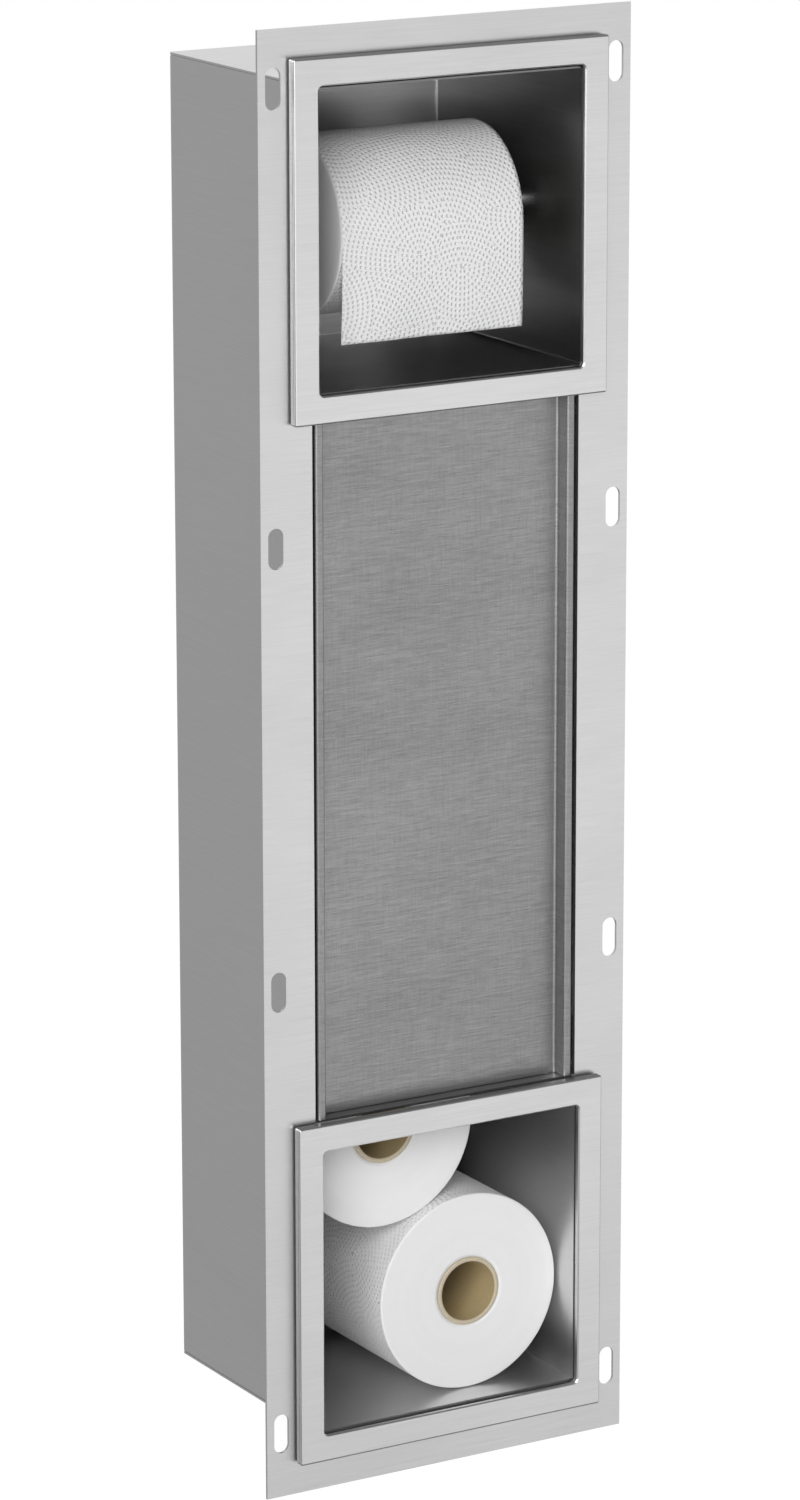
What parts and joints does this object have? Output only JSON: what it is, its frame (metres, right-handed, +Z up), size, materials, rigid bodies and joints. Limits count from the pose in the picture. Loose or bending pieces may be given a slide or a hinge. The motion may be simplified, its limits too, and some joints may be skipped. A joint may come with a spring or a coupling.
{
  "type": "recessed toilet roll holder",
  "caption": "Recessed stainless steel toilet roll holder: an upper niche with a sprung spindle, a magazine for spare rolls behind a removable tile tray, and an open lower compartment.",
  "frame": {"origin": "centre of the wall recess, on the face of the wall, which is the back face of the mounting flange", "axes": "+X to the right, +Y into the wall, +Z up; the front faces -Y"},
  "size_m": [0.2, 0.139, 0.7049],
  "materials": {
    "housing_steel": "brushed stainless, satin",
    "flange_steel": "brushed stainless, horizontal grain",
    "bezel_steel": "brushed stainless, horizontal grain",
    "liner_steel": "brushed stainless inside the niche",
    "panel_steel": "cross-brushed stainless",
    "rail_steel": "mill finish",
    "strike_steel": "magnetic steel, mill finish",
    "socket_steel": "turned, satin",
    "spring_steel": "drawn wire",
    "spindle_chrome": "bright chrome",
    "magnet_plating": "nickel plated",
    "seal": "black closed-cell foam",
    "tip_plastic": "grey moulded plastic",
    "paper": "soft embossed tissue",
    "core_card": "wound card"
  },
  "bodies": {
    "wall_unit": {"housing_shell": "housing_steel", "housing_top_cap": "housing_steel", "housing_bottom_cap": "housing_steel", "mounting_flange": "flange_steel", "niche_liner": "liner_steel", "upper_bezel_seal": "seal", "upper_bezel_frame": "bezel_steel", "upper_bezel_face": "bezel_steel", "lower_bezel_seal": "seal", "lower_bezel_frame": "bezel_steel", "lower_bezel_face": "bezel_steel", "upper_cross_rail": "rail_steel", "lower_cross_rail": "rail_steel", "magnet_cups": "magnet_plating", "panel_magnets": "magnet_plating", "spindle_socket_left": "socket_steel", "spindle_socket_right": "socket_steel", "paper_tail": "paper", "upper_spare_core": "core_card", "upper_spare_paper": "paper"},
    "panel": {"access_panel": "panel_steel", "panel_strike_plates": "strike_steel"},
    "spindle": {"spindle_sleeve": "spindle_chrome", "spindle_tip_left": "tip_plastic", "spindle_spring": "spring_steel"},
    "plunger": {"spindle_plunger": "spindle_chrome", "spindle_tip_right": "tip_plastic"},
    "roll": {"roll_core": "core_card", "roll_paper": "paper"},
    "lower_spare": {"lower_spare_core": "core_card", "lower_spare_paper": "paper"}
  },
  "joints": [
    {"name": "panel_lift_off", "type": "slide", "parent": "wall_unit", "child": "panel", "axis": [0, -1, 0], "range_m": [0, 0.06]},
    {"name": "spindle_spin", "type": "hinge", "parent": "wall_unit", "child": "spindle", "pos_m": [0, 0.0535, 0.2535], "axis": [1, 0, 0], "continuous": true},
    {"name": "spindle_compress", "type": "slide", "parent": "spindle", "child": "plunger", "axis": [-1, 0, 0], "range_m": [0, 0.014], "stiffness_N_per_m": 250, "springref_m": -0.02, "deforming": ["spindle_spring"]},
    {"name": "roll_spin", "type": "hinge", "parent": "wall_unit", "child": "roll", "pos_m": [0, 0.0535, 0.251], "axis": [1, 0, 0], "continuous": true},
    {"name": "lower_spare_draw", "type": "slide", "parent": "wall_unit", "child": "lower_spare", "axis": [0, -1, 0], "range_m": [0, 0.13]}
  ]
}
